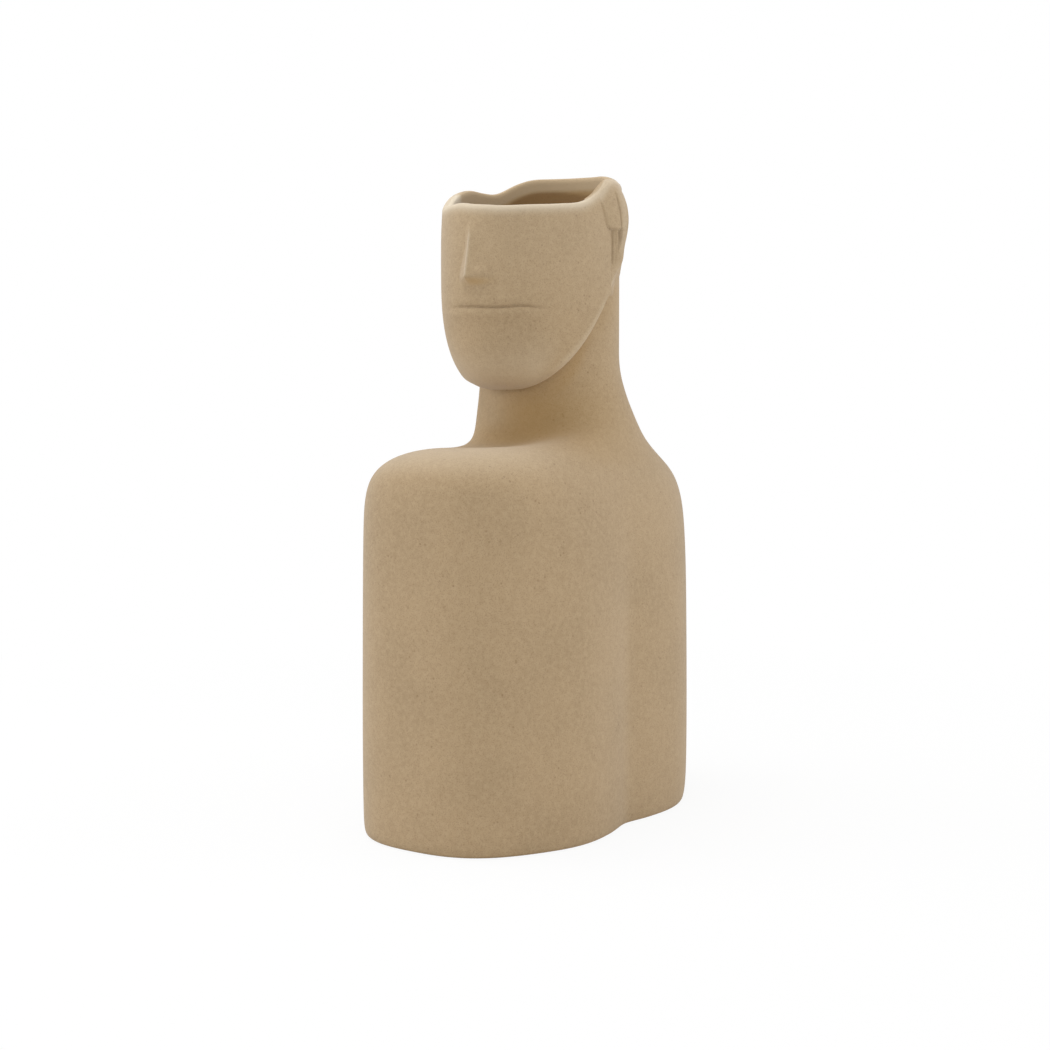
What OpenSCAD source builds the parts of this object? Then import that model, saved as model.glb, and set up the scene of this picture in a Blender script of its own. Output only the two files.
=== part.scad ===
// Bust vase: a hollow torso with a turned head that is cut open above the face.
// +X is the left shoulder, -Y the chest, and the face looks along -X over the right shoulder.
// It stands on z = 0, with the torso's centre on the vertical axis.

/* [Torso] */
// Width from shoulder to shoulder
torso_w = 202; // [170:1:230]
// Depth from chest to back
torso_d = 117; // [100:1:130]
// Height of the shoulder tops
shoulder_h = 185; // [165:1:205]
// Wall of the two torso shells
torso_wall = 6; // [4:0.5:8]
// Thickness of the floor slab
base_t = 7; // [5:0.5:10]
// How far the two lobes of the chest swell forward
chest_swell = 4; // [0:0.5:7]
// Depth of the valley between the lobes
chest_valley = 2.6; // [0:0.2:4]

/* [Neck] */
// Outer radius of the neck column
neck_r = 35.2; // [32:0.2:37]
// Distance of the neck's axis from the torso's axis, towards the left shoulder
neck_x = 15; // [10:1:20]
// Rise of the flare from the shoulder tops to the plain column
flare_h = 40; // [34:1:46]
// Wall of the neck and the head
neck_wall = 5.5; // [4:0.5:7]

/* [Head] */
// Distance of the ear plane from the torso's axis
ear_x = 4; // [0:1:8]
// Reach of the face forward of the ear plane
face_reach = 57; // [50:1:62]
// Reach of the skull behind the ear plane
skull_reach = 46; // [42:1:52]
// Half of the head's width at the ears
head_half_w = 42; // [39:1:46]
// Rise of the chin above the shoulder tops
chin_rise = 24; // [20:1:32]
// Height of the face from the chin to the front lip
face_h = 89.5; // [80:0.5:100]
// Rise of the jaw line from the chin to the ear plane
jaw_rise = 42; // [34:1:48]
// Rise of the rim above the front lip at the back of the head
nape_rise = 24; // [16:1:32]

/* [Face] */
// Height of the nose's tip above the chin
nose_z = 54; // [48:1:60]
// Length of the nose
nose_l = 27; // [20:1:32]
// How far the tip of the nose stands off the face
nose_reach = 5; // [3:0.5:8]
// Half of the nose's width at its base
nose_half_w = 10.5; // [8:0.5:13]
// Height of the mouth above the chin
mouth_z = 40.5; // [37:0.5:44]
// Depth of the slit of the mouth
mouth_depth = 1.1; // [0.3:0.1:2.4]

/* [Ears] */
// How far the ear's outer edge stands off the head
ear_reach = 6.1; // [5:0.1:8]
// Height of the ear from the lobe to its top
ear_h = 54; // [48:1:56]
// Depth of the bowl of the ear
ear_bowl = 3; // [1:0.5:4]
// How far the folded tab stands proud of the bowl
fold_t = 2.4; // [1:0.2:3]

/* [Hidden] */
sand = [0.72, 0.63, 0.50];
sand_light = [0.76, 0.67, 0.54];
sand_dark = [0.66, 0.56, 0.44];

// Columns run once round the vase from +X, rows run upwards
columns = 56;
steps_per_span = 2;
full_turn_angle = 360;
half_turn_angle = 180;
quarter_turn_angle = 90;
step_angle = full_turn_angle / columns;
chin_z = shoulder_h + chin_rise;
lip_z = chin_z + face_h;
// Least thickness of an applied piece along its feathered border
feather = 0.4;

// Control rings of the torso and the flare, from the ground upwards. The first four shares are
// heights at the right, left, front and back; up to 1 they count in shoulder heights, and above 1
// they count on in flare heights. The next four say how far the ring lies from the neck's wall (0)
// to the torso's wall (1) on those sides. Then come the squareness and the share of the swell.
ring_shares = [
    [0, 0, 0, 0, 0.95, 0.905, 0.86, 0.88, 2.7, 0.95],
    [0, 0, 0, 0, 0.98, 0.95, 0.94, 0.97, 2.7, 0.98],
    [0.016, 0.016, 0.016, 0.016, 1, 0.985, 0.98, 0.995, 2.7, 1],
    [0.076, 0.076, 0.076, 0.076, 1, 1, 1, 1, 2.7, 1],
    [0.27, 0.27, 0.27, 0.27, 0.998, 0.992, 0.99, 0.99, 2.7, 1],
    [0.486, 0.486, 0.476, 0.486, 0.994, 0.988, 0.98, 0.98, 2.7, 0.9],
    [0.66, 0.66, 0.627, 0.65, 0.99, 0.984, 0.974, 0.974, 2.7, 0.65],
    [0.784, 0.773, 0.735, 0.768, 0.987, 0.976, 0.947, 0.956, 2.7, 0.3],
    [0.876, 0.854, 0.822, 0.862, 0.98, 0.955, 0.89, 0.93, 2.7, 0.1],
    [0.935, 0.919, 0.886, 0.93, 0.94, 0.90, 0.76, 0.77, 2.6, 0],
    [0.975, 0.957, 0.951, 0.962, 0.8, 0.775, 0.55, 0.45, 2.4, 0],
    [0.993, 0.995, 1.02, 0.975, 0.5, 0.57, 0.38, 0.18, 2.2, 0],
    [0.984, 1.2, 1.27, 1.0, 0.17, 0.35, 0.25, 0.13, 2.05, 0],
    [0.998, 1.45, 1.52, 1.2, 0.05, 0.18, 0.13, 0.12, 2, 0],
    [1.14, 1.7, 1.77, 1.5, 0.02, 0.065, 0.045, 0.08, 2, 0],
    [1.37, 1.92, 2, 1.8, 0, 0, 0, 0, 2, 0],
    [1.57, 2.17, 2.25, 2.1, 0, 0, 0, 0, 2, 0]
];
// Number of the control ring on whose row the neck is luted to the torso
seam_ring_count = 13;
// Rows of the neck's plain column
column_rows = 4;

function smooth(x) = let(t = min(max(x, 0), 1)) t * t * (3 - 2 * t);
function mix(a, b, t) = a + (b - a) * t;
function bell(x, width_share) = exp(-pow(x / width_share, 2));
function unit(v) = v / norm(v);

// Height that a share in the table of rings stands for
function ring_height(share) = share <= 1 ? share * shoulder_h : shoulder_h + (share - 1) * flare_h;

// Distances from the torso's axis to the torso's wall, and to the neck's wall, on the four sides
torso_reach = [torso_w / 2, torso_w / 2, torso_d / 2, torso_d / 2];
neck_reach = [neck_r - neck_x, neck_r + neck_x, neck_r, neck_r];

// A point of a control ring: a superellipse whose halves differ, with lobes and valley in front
lobe_place_share = 0.45;
lobe_width_share = 0.26;
valley_width_share = 0.13;
// The outline of the foot is a little askew: fuller at the right front and the left back
foot_skew_share = 0.01;
foot_share = 0.16;
function ring_point(row, a) =
    let(
        reach = [for (i = [0 : 3]) mix(neck_reach[i], torso_reach[i], row[4 + i])],
        centre = (reach[1] - reach[0]) / 2,
        half_w = (reach[1] + reach[0]) / 2,
        front = sin(a) < 0,
        half_d = front ? reach[2] : reach[3],
        askew = 1 + foot_skew_share * (1 - smooth(row[3] / foot_share)) * sin(2 * a),
        r = askew * pow(pow(abs(cos(a)) / half_w, row[8]) + pow(abs(sin(a)) / half_d, row[8]), -1 / row[8]),
        across = r * cos(a) / half_w,
        swell = row[9] * (chest_swell * bell(abs(across) - lobe_place_share, lobe_width_share)
                          - chest_valley * bell(across, valley_width_share)),
        side_h = ring_height(front ? row[2] : row[3]),
        h = side_h + (ring_height(row[0]) - side_h) * pow(max(-cos(a), 0), 2)
            + (ring_height(row[1]) - side_h) * pow(max(cos(a), 0), 2)
    )
    [centre + r * cos(a), r * sin(a) - (front ? swell * min(-1.5 * sin(a), 1) : 0), h];

// Cubic spline over the control rings, with both end rings held
ring_count = len(ring_shares);
control = [for (k = [-2 : ring_count + 1])
    [for (j = [0 : columns - 1]) ring_point(ring_shares[min(max(k, 0), ring_count - 1)], j * step_angle)]];
function blend4(p, t) =
    (pow(1 - t, 3) * p[0] + (3 * pow(t, 3) - 6 * t * t + 4) * p[1]
     + (-3 * pow(t, 3) + 3 * t * t + 3 * t + 1) * p[2] + pow(t, 3) * p[3]) / 6;
span_count = ring_count + 1;
body_rows = span_count * steps_per_span + 1;
body_outer = [for (i = [0 : body_rows - 1])
    let(
        s = min(floor(i / steps_per_span), span_count - 1),
        t = i / steps_per_span - s
    )
    [for (j = [0 : columns - 1]) blend4([for (k = [0 : 3]) control[s + k][j]], t)]];

// Middle of the vase's depth, lobes included, which everything is moved by to stand centred
outline_y = [for (r = body_outer) each [for (p = r) p[1]]];
middle_y = (max(outline_y) + min(outline_y)) / 2;

// Outward direction at a point of a grid that closes on itself round the vase. In the plane
// through both shoulders it stays in that plane, so that the shells meet on flat faces.
function outward(grid, i, j) =
    let(
        up = grid[min(i + 1, len(grid) - 1)][j] - grid[max(i - 1, 0)][j],
        round = grid[i][(j + 1) % columns] - grid[i][(j + columns - 1) % columns],
        n = cross(round, up),
        in_plane = j % (columns / 2) == 0
    )
    unit([n[0], in_plane ? 0 : n[1], n[2]]);

// Floor outline: the torso's inner wall where it stands on the ground
foot_row = 3 * steps_per_span;
floor_outline = [for (j = [0 : columns - 1])
    let(p = body_outer[foot_row][j], n = unit([for (k = [0, 1]) outward(body_outer, foot_row, j)[k]]))
    [p[0] - torso_wall * n[0], p[1] - torso_wall * n[1]]];

// Inner side of the body: upright round the floor slab, and one wall inside the outer side above it
seam_row = seam_ring_count * steps_per_span;
body_wall = [for (i = [0 : body_rows - 1]) mix(torso_wall, neck_wall, smooth(i / seam_row * 2 - 1))];
body_inner = [for (i = [0 : body_rows - 1])
    [for (j = [0 : columns - 1])
        i <= foot_row
            ? [floor_outline[j][0], floor_outline[j][1], base_t * i / foot_row]
            : body_outer[i][j] - body_wall[i] * outward(body_outer, i, j)]];

// Neck column as seen from the ear plane, at an angle of the grid
function column_point(radius, a) =
    let(c = neck_x - ear_x, d = c * cos(a) + sqrt(pow(radius, 2) - pow(c * sin(a), 2)))
    [ear_x + d * cos(a), d * sin(a)];

// Angle from the middle of the back of the head, on either side
function from_nape(a) = a > half_turn_angle ? full_turn_angle - a : a;

// Rim: low across the face, lowest in front, raised at the ears and highest over the nape. Each pair is an angle from
// +X in degrees, and the rise above the front lip there as a share of the rise at the nape. The
// height is evened out over a few degrees.
rim_shares = [
    [0, 0.99], [16, 1], [32, 1], [40, 0.985], [48, 0.92], [56, 0.82], [64, 0.68], [72, 0.6], [88, 0.6],
    [96, 0.61], [104, 0.54], [112, 0.44], [120, 0.31], [128, 0.17], [136, 0.07], [148, 0], [170, 0],
    [180, -0.06], [190, -0.085], [200, -0.115], [210, -0.105], [220, -0.083], [230, -0.062],
    [240, -0.02], [246, 0.005], [252, 0.06], [259, 0.19], [265, 0.36], [269, 0.52], [273, 0.61],
    [304, 0.63], [312, 0.7], [320, 0.81], [328, 0.89], [336, 0.95], [348, 0.97], [360, 0.99]
];
ease_angles = [-4, -2, 0, 2, 4];
function in_turn(a) = a < 0 ? a + full_turn_angle : a > full_turn_angle ? a - full_turn_angle : a;
function rim_height(a) =
    let(rises = [for (turn = ease_angles) lookup(in_turn(a + turn), rim_shares)])
    lip_z + nape_rise * (rises * [for (r = rises) 1]) / len(rises);

// Jaw line, and how far the overhang of the jaw has faded behind the ear plane
jaw_edge_share = 0.015;
lobe_rise = 12;
lobe_fade_angle = 35;
corner_rise = 3.5;
corner_angle = 92;
corner_width_angle = 14;
overhang_fade_angle = 30;
function jaw_height(a) =
    let(c = max(-cos(a), 0))
    chin_z + face_h * jaw_edge_share + jaw_rise * pow(1 - c, 2)
    + lobe_rise * smooth((quarter_turn_angle - from_nape(a)) / lobe_fade_angle)
    + corner_rise * bell(from_nape(a) - corner_angle, corner_width_angle);
function overhang(a) = 1 - smooth((quarter_turn_angle - from_nape(a)) / overhang_fade_angle);

// Width of the head at a height, as a share of its width at the ears: a bowl that closes at the
// chin, plain walls above, and a slight lean inwards at the rim
bowl_share = 0.61;
least_share = 0.01;
rim_lean_share = 0.03;
lean_from_share = 0.8;
lean_over_share = 0.4;
function head_share(z) =
    let(up_share = (z - chin_z) / face_h, t = max(up_share / bowl_share, least_share))
    (t < 1 ? pow(1 - pow(1 - t, 2.3), 0.22) : 1)
    - rim_lean_share * smooth((up_share - lean_from_share) / lean_over_share);

// Outline of the head at a height. Behind the ear plane it grows out of the neck's column.
skull_grown_share = 0.2;
function head_point(a, z, inset) =
    let(
        share = head_share(z - inset),
        reach = cos(a) < 0 ? face_reach : skull_reach,
        egg = [ear_x + (reach * share - inset) * cos(a), (head_half_w * share - inset) * sin(a)],
        grown = smooth((z - jaw_height(0)) / (face_h * skull_grown_share)),
        w = 1 - (1 - grown) * (1 - overhang(a))
    )
    mix(column_point(neck_r - inset, a), egg, w);

// Rows of the face: the levels at which the bowl, the mouth and the cheeks need a row, as shares
// of the face's height, and the half height of the mouth's slit
slit = 0.9;
nose_under = 4.6;
mouth_rows = [-2.5 * slit, -slit, 0, slit, 2.5 * slit];
level_shares = [0.045, 0.09, 0.16, 0.26, 0.36];
cheek_shares = [0.68, 0.76, 0.84, 0.91, 0.965];
levels = concat(
    [for (s = level_shares) s * face_h],
    [for (m = mouth_rows) mouth_z + m],
    [nose_z - nose_under, nose_z],
    [for (s = cheek_shares) s * face_h]);
row_gap = 1;
jaw_lift_plain = 4.5;
jaw_lift_under = 1.2;
follow_share = 0.5;
mouth_middle_angle = 192;
mouth_half_angle = 29;
mouth_fade_angle = 15;
slit_side_share = 0.25;

// Height of a row: never under the jaw line, and following the rim near the top
function level_height(k, a) =
    let(
        jaw_lift = mix(jaw_lift_plain, jaw_lift_under, overhang(a)),
        low = max(chin_z + levels[k], jaw_height(a) + jaw_lift + row_gap * (k + 1)),
        follow = smooth((levels[k] / face_h - follow_share) / (1 - follow_share))
    )
    low + (rim_height(a) - lip_z) * follow;

// Slit of the mouth: how far a row is drawn in, fading towards the corners
function mouth_inset(k, a) =
    let(
        m = k - len(level_shares),
        from_middle = abs(a - mouth_middle_angle),
        depth_share = m == 2 ? 1 : m == 1 || m == 3 ? slit_side_share : 0
    )
    m < 0 || m > 4 ? 0
    : mouth_depth * depth_share * smooth((mouth_half_angle - from_middle) / mouth_fade_angle);

// Under side of the jaw, from the neck's column out to the jaw line
under_shares = [0, 0.5, 0.88, 1];
under_drop = [4, 1.6, 0.2, 1.2];
plain_gap = 1.5;
function under_row(k, a, inset) =
    let(
        over = overhang(a),
        zj = jaw_height(a),
        column = column_point(neck_r - inset, a),
        edge = head_point(a, zj + inset * over, inset),
        p = mix(column, edge, mix(1, under_shares[k], over) * (k > 0 ? 1 : 0))
    )
    [p[0], p[1], zj + mix(plain_gap * k, under_drop[k], over) + inset * over];

function face_row(k, a, inset) =
    let(z = level_height(k, a), p = head_point(a, z, inset + (inset > 0 ? 0 : mouth_inset(k, a))))
    [p[0], p[1], z];

// Rim, rounded over its thickness: how far its rows lie below the top, and how far they are drawn
// in on the outer side and out on the inner side
lip_drop = [2.2, 0.7, 0];
lip_draw = [0, 0.45, 1.6];
lip_draw_inner = [0, 0.35, 1.2];
function lip_row(k, a, inset) =
    let(
        z = rim_height(a) - lip_drop[k],
        draw = inset > 0 ? inset - lip_draw_inner[k] : lip_draw[k],
        p = head_point(a, z, draw)
    )
    [p[0], p[1], z];

level_count = len(levels);
under_count = len(under_shares);
head_outer = [for (i = [0 : under_count + level_count + 2])
    [for (j = [0 : columns - 1])
        i < under_count ? under_row(i, j * step_angle, 0)
        : i < under_count + level_count ? face_row(i - under_count, j * step_angle, 0)
        : lip_row(i - under_count - level_count, j * step_angle, 0)]];
head_inner = [for (i = [0 : under_count + level_count + 2])
    [for (j = [0 : columns - 1])
        i < under_count ? under_row(i, j * step_angle, neck_wall)
        : i < under_count + level_count ? face_row(i - under_count, j * step_angle, neck_wall)
        : lip_row(i - under_count - level_count, j * step_angle, neck_wall)]];

// Neck: the flare's upper rows, then plain rows up to the crease under the jaw
function column_row(from, to, k) =
    [for (j = [0 : columns - 1]) mix(from[j], to[j], k / column_rows)];
neck_outer = concat(
    [for (i = [seam_row : body_rows - 1]) body_outer[i]],
    [for (k = [1 : column_rows]) column_row(body_outer[body_rows - 1], head_outer[0], k)]);
neck_inner = concat(
    [for (i = [seam_row : body_rows - 1]) body_inner[i]],
    [for (k = [1 : column_rows]) column_row(body_inner[body_rows - 1], head_inner[0], k)]);

// Point on the flat facets of a grid, at a row and a column that may lie between its own
function on_facets(grid, u, v) =
    let(
        i = min(floor(u), len(grid) - 2),
        j = floor(v),
        fu = u - i,
        fv = v - j,
        a = grid[i][j % columns],
        b = grid[i][(j + 1) % columns],
        c = grid[i + 1][(j + 1) % columns],
        d = grid[i + 1][j % columns]
    )
    fv >= fu ? a + fv * (b - a) + fu * (c - b) : a + fu * (d - a) + fv * (c - d);

// Finer grid on those facets, for a piece that is applied to the head
facet_steps = 3;
function seat(low, high, first, last) =
    [for (i = [0 : (high - low) * facet_steps])
        [for (j = [0 : (last - first) * facet_steps])
            on_facets(head_outer, low + i / facet_steps, first + j / facet_steps)]];

// Nose: a wedge whose ridge rises towards the tip, over a short underside
nose_row = under_count + len(level_shares) + len(mouth_rows);
nose_rows = 5;
nose_columns = 3;
wing_share = 1.1;
bridge_share = 0.52;
bridge_begin = 15;
nose_seat = seat(nose_row, nose_row + nose_rows, columns / 2 - nose_columns, columns / 2 + nose_columns);
nose_power_share = 1.2;
function nose_height(p) =
    let(
        above_tip = p[2] - chin_z - nose_z,
        along = above_tip / nose_l,
        ridge = above_tip < 0 ? max(1 + above_tip / nose_under, 0)
              : pow(max(1 - along, 0), nose_power_share),
        half_w = nose_half_w * mix(wing_share, bridge_share, smooth(above_tip / bridge_begin)),
        across = abs(p[1]) / half_w
    )
    feather + nose_reach * ridge * pow(max(1 - across, 0), nose_power_share);

// Ears: fins that lean out from the head, with a bowl in front of the rolled outer edge
ear_row = under_count + 6;
ear_top_row = under_count + level_count;
ear_first_column = columns / 4 - 5;
ear_last_column = columns / 4 + 2;
ear_lean_angle = 20;
ear_top_z = rim_height(quarter_turn_angle);
ear_front_gap = 0.5;
ear_front_lean = 20;
ear_tab_step = 3;
ear_crest_gap = 8;
ear_back_gap = 20;
ear_crest = ear_x + ear_crest_gap;
ear_back = ear_x + ear_back_gap;
right_seat = seat(ear_row, ear_top_row, ear_first_column, ear_last_column);
left_seat = seat(ear_row, ear_top_row, columns - ear_last_column, columns - ear_first_column);

// How high a point lies on the ear, measured plumb (1 at the top), and how far from the front crease
// (0) over the outer edge (1) to the root behind (2). Above half its height the front crease leans
// forward under the tab. The lobe slants, so that the ear is shorter at its outer edge.
crease_h = 50;
lobe_slant = 7.5;
tab_share = 0.5;
tab_edge_share = 0.03;
function ear_plumb(p) = (p[2] - ear_top_z) / crease_h + 1;
function ear_across(p) =
    let(
        above_share = ear_plumb(p) - tab_share,
        front = ear_x + ear_front_gap - ear_tab_step * smooth(above_share / tab_edge_share)
                - ear_front_lean * max(above_share, 0),
        w = p[0] < ear_crest ? (p[0] - front) / (ear_crest - front)
            : 1 + (p[0] - ear_crest) / (ear_back - ear_crest)
    )
    min(max(w, 0), 2);
function ear_up(p) =
    min(max(1 - (ear_top_z - p[2]) / (ear_h - lobe_slant * min(ear_across(p), 1)), 0), 1);
bowl_low_share = 0.17;
bowl_top_share = 0.93;
bowl_edge_share = 0.7;
bowl_side_share = 0.16;
function ear_height(p) =
    let(
        up = ear_plumb(p),
        w = ear_across(p),
        profile = pow(sin(half_turn_angle * pow(ear_up(p), 1.42)), 0.85),
        fin = profile * (w < 1 ? pow(w, 0.9) : pow(2 - w, 1.2)),
        bowl = smooth((up - bowl_low_share) / bowl_side_share)
               * smooth((bowl_top_share - up) / bowl_side_share)
               * smooth(w / bowl_side_share) * smooth((bowl_edge_share - w) / bowl_side_share)
    )
    feather + max(ear_reach * fin - ear_bowl * bowl, 0);
function raise_ear(seat, side) =
    [for (r = seat) [for (p = r) p + ear_height(p) * [sin(ear_lean_angle), side * cos(ear_lean_angle), 0]]];
right_skin = raise_ear(right_seat, 1);
left_skin = raise_ear(left_seat, -1);

// Folded tab of the ear: it bridges the upper part of the bowl, from under the rim down to its free
// lower edge. Its rows and columns are counted on the ear's fine grid.
fold_low_row = 22;
fold_high_row = 32;
fold_before_columns = 4;
fold_behind_columns = 2;
function sub_grid(grid, low, high, first, last) =
    [for (i = [low : high]) [for (j = [first : last]) grid[i][j]]];
ear_steps = (ear_last_column - ear_first_column) * facet_steps;
fold_middle_column = (columns / 4 - ear_first_column) * facet_steps;
right_fold_seat = sub_grid(right_skin, fold_low_row, fold_high_row,
    fold_middle_column - fold_behind_columns, fold_middle_column + fold_before_columns);
left_fold_seat = sub_grid(left_skin, fold_low_row, fold_high_row,
    ear_steps - fold_middle_column - fold_before_columns,
    ear_steps - fold_middle_column + fold_behind_columns);
// Rows over which it comes out of the ear's skin, counted down from the rim
fold_fade_rows = 6;
function raise_fold(seat, side) =
    [for (i = [0 : len(seat) - 1]) [for (j = [0 : len(seat[0]) - 1])
        let(
            edge = j == 0 || j == len(seat[0]) - 1,
            out = edge ? 0 : smooth((len(seat) - 1 - i) / fold_fade_rows)
        )
        seat[i][j] + mix(feather, fold_t, out) * [-sin(ear_lean_angle), side * cos(ear_lean_angle), 0]]];

// Columns first to last of rows low to high of a grid, wrapping round past the last column
function patch(grid, low, high, first, last) =
    [for (i = [low : high]) [for (j = [first : last]) grid[i][j % columns]]];

// Closed solid between an outer and an inner grid of one size
module shell(outer, inner, closed = false) {
    rows = len(outer);
    n = len(outer[0]);
    m = closed ? n : n - 1;
    half = rows * n;
    flat = concat([for (r = outer) each r], [for (r = inner) each r]);
    translate([0, -middle_y, 0]) polyhedron(points = flat, faces = concat(
        [for (i = [0 : rows - 2], j = [0 : m - 1])
            let(a = i * n + j, b = i * n + (j + 1) % n, c = b + n, d = a + n)
            each [[a, c, b], [a, d, c]]],
        [for (i = [0 : rows - 2], j = [0 : m - 1])
            let(a = half + i * n + j, b = half + i * n + (j + 1) % n, c = b + n, d = a + n)
            each [[a, b, c], [a, c, d]]],
        [for (j = [0 : m - 1])
            let(a = j, b = (j + 1) % n)
            each [[a, b, b + half], [a, b + half, a + half]]],
        [for (j = [0 : m - 1])
            let(a = (rows - 1) * n + j, b = (rows - 1) * n + (j + 1) % n)
            each [[a, b + half, b], [a, a + half, b + half]]],
        closed ? [] : [for (i = [0 : rows - 2])
            let(a = i * n, d = a + n)
            each [[a, d + half, d], [a, a + half, d + half]]],
        closed ? [] : [for (i = [0 : rows - 2])
            let(a = i * n + n - 1, d = a + n)
            each [[a, d, d + half], [a, d + half, a + half]]]
    ));
}

module torso_half(first) {
    last = first + columns / 2;
    shell(patch(body_outer, 0, seam_row, first, last), patch(body_inner, 0, seam_row, first, last));
}

module torso_front() {
    color(sand) torso_half(columns / 2);
}

module torso_back() {
    color(sand) torso_half(0);
}

module base_plate() {
    color(sand_dark) translate([0, -middle_y, 0]) linear_extrude(base_t) polygon(floor_outline);
}

module neck() {
    color(sand) shell(neck_outer, neck_inner, closed = true);
}

head_rows = len(head_outer);

module head_back() {
    first = 3 * columns / 4;
    last = 5 * columns / 4;
    color(sand) shell(
        patch(head_outer, 0, head_rows - 1, first, last),
        patch(head_inner, 0, head_rows - 1, first, last));
}

module face_mask() {
    first = columns / 4;
    last = 3 * columns / 4;
    color(sand_light) shell(
        patch(head_outer, 0, head_rows - 1, first, last),
        patch(head_inner, 0, head_rows - 1, first, last));
}

module nose() {
    color(sand_light) shell(
        [for (r = nose_seat) [for (p = r) p - [nose_height(p), 0, 0]]], nose_seat);
}

module ear_left() {
    color(sand) shell(left_skin, left_seat);
}

module ear_right() {
    color(sand) shell(right_skin, right_seat);
}

module ear_fold_left() {
    color(sand_light) shell(raise_fold(left_fold_seat, -1), left_fold_seat);
}

module ear_fold_right() {
    color(sand_light) shell(raise_fold(right_fold_seat, 1), right_fold_seat);
}

torso_front();
torso_back();
base_plate();
neck();
head_back();
face_mask();
nose();
ear_left();
ear_right();
ear_fold_left();
ear_fold_right();
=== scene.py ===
"""Bust vase of unglazed sand-coloured clay: torso, neck and a turned head that is open above the face.

Lengths are in millimetres until a mesh is made. Angles run once round the vase from +X, the left
shoulder; -Y is the chest, and the face looks along -X. A skin is a function of u, which counts the
spans between its control rows, and of the angle a; its points come back as a grid.
"""
import math

import bpy
import numpy as np
from mathutils import Matrix, Vector


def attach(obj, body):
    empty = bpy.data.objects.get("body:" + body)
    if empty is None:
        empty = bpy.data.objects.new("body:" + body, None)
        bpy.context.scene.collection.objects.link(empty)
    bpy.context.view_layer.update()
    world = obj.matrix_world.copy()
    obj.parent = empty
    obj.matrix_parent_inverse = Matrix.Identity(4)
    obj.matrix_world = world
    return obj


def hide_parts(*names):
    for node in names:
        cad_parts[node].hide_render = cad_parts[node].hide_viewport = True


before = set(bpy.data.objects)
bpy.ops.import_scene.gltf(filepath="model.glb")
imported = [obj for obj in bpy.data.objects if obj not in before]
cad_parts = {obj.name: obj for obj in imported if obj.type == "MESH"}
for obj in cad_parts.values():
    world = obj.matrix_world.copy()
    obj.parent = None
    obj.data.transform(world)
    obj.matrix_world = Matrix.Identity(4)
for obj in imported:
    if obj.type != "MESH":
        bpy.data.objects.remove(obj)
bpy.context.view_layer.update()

METRE = 0.001

# Sizes of the vase, as in the solids
TORSO_W, TORSO_D, SHOULDER_H, TORSO_WALL, BASE_T = 202.0, 117.0, 185.0, 6.0, 7.0
CHEST_SWELL, CHEST_VALLEY = 4.0, 2.6
NECK_R, NECK_X, FLARE_H, NECK_WALL = 35.2, 15.0, 40.0, 5.5
EAR_X, FACE_REACH, SKULL_REACH, HEAD_HALF_W = 4.0, 57.0, 46.0, 42.0
FACE_H, JAW_RISE, NAPE_RISE = 89.5, 42.0, 24.0
CHIN_Z = SHOULDER_H + 24.0
LIP_Z = CHIN_Z + FACE_H
NOSE_Z, NOSE_L, NOSE_REACH, NOSE_HALF_W = CHIN_Z + 54.0, 27.0, 5.0, 10.5
MOUTH_Z, MOUTH_DEPTH = CHIN_Z + 40.5, 1.1
EAR_REACH, EAR_H = 6.1, 54.0
EAR_TOP, EAR_LEAN = LIP_Z + 14.2, np.radians(20)

# How far an applied piece lies under the skin where its relief is nothing, and the torso's skin
# inside the solids' box
SUNK = 0.05

# Columns of a grid once round the vase, rows to each span of the torso and of the flare, and rows up
# the neck's column
COLUMNS = 448
STEP = 2 * np.pi / COLUMNS
TORSO_ROWS, FLARE_ROWS, PLAIN_ROWS = 12, 8, 25
# Spans from one row of the head to the next, and rows through the mouth
HEAD_ROWS, MOUTH_ROWS = 0.2, 17

# Rings of the torso and the flare: height shares at the right, left, front and back, reach shares
# on the same sides, squareness, and the share of the chest's swell
RINGS = np.array([
    [0, 0, 0, 0, 0.95, 0.905, 0.86, 0.88, 2.7, 0.95],
    [0, 0, 0, 0, 0.98, 0.95, 0.94, 0.97, 2.7, 0.98],
    [0.016, 0.016, 0.016, 0.016, 1, 0.985, 0.98, 0.995, 2.7, 1],
    [0.076, 0.076, 0.076, 0.076, 1, 1, 1, 1, 2.7, 1],
    [0.27, 0.27, 0.27, 0.27, 0.998, 0.992, 0.99, 0.99, 2.7, 1],
    [0.486, 0.486, 0.476, 0.486, 0.994, 0.988, 0.98, 0.98, 2.7, 0.9],
    [0.66, 0.66, 0.627, 0.65, 0.99, 0.984, 0.974, 0.974, 2.7, 0.65],
    [0.784, 0.773, 0.735, 0.768, 0.987, 0.976, 0.947, 0.956, 2.7, 0.3],
    [0.876, 0.854, 0.822, 0.862, 0.98, 0.955, 0.89, 0.93, 2.7, 0.1],
    [0.935, 0.919, 0.886, 0.93, 0.94, 0.90, 0.76, 0.77, 2.6, 0],
    [0.975, 0.957, 0.951, 0.962, 0.8, 0.775, 0.55, 0.45, 2.4, 0],
    [0.993, 0.995, 1.02, 0.975, 0.5, 0.57, 0.38, 0.18, 2.2, 0],
    [0.984, 1.2, 1.27, 1.0, 0.17, 0.35, 0.25, 0.13, 2.05, 0],
    [0.998, 1.45, 1.52, 1.2, 0.05, 0.18, 0.13, 0.12, 2, 0],
    [1.14, 1.7, 1.77, 1.5, 0.02, 0.065, 0.045, 0.08, 2, 0],
    [1.37, 1.92, 2, 1.8, 0, 0, 0, 0, 2, 0],
    [1.57, 2.17, 2.25, 2.1, 0, 0, 0, 0, 2, 0],
])
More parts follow.
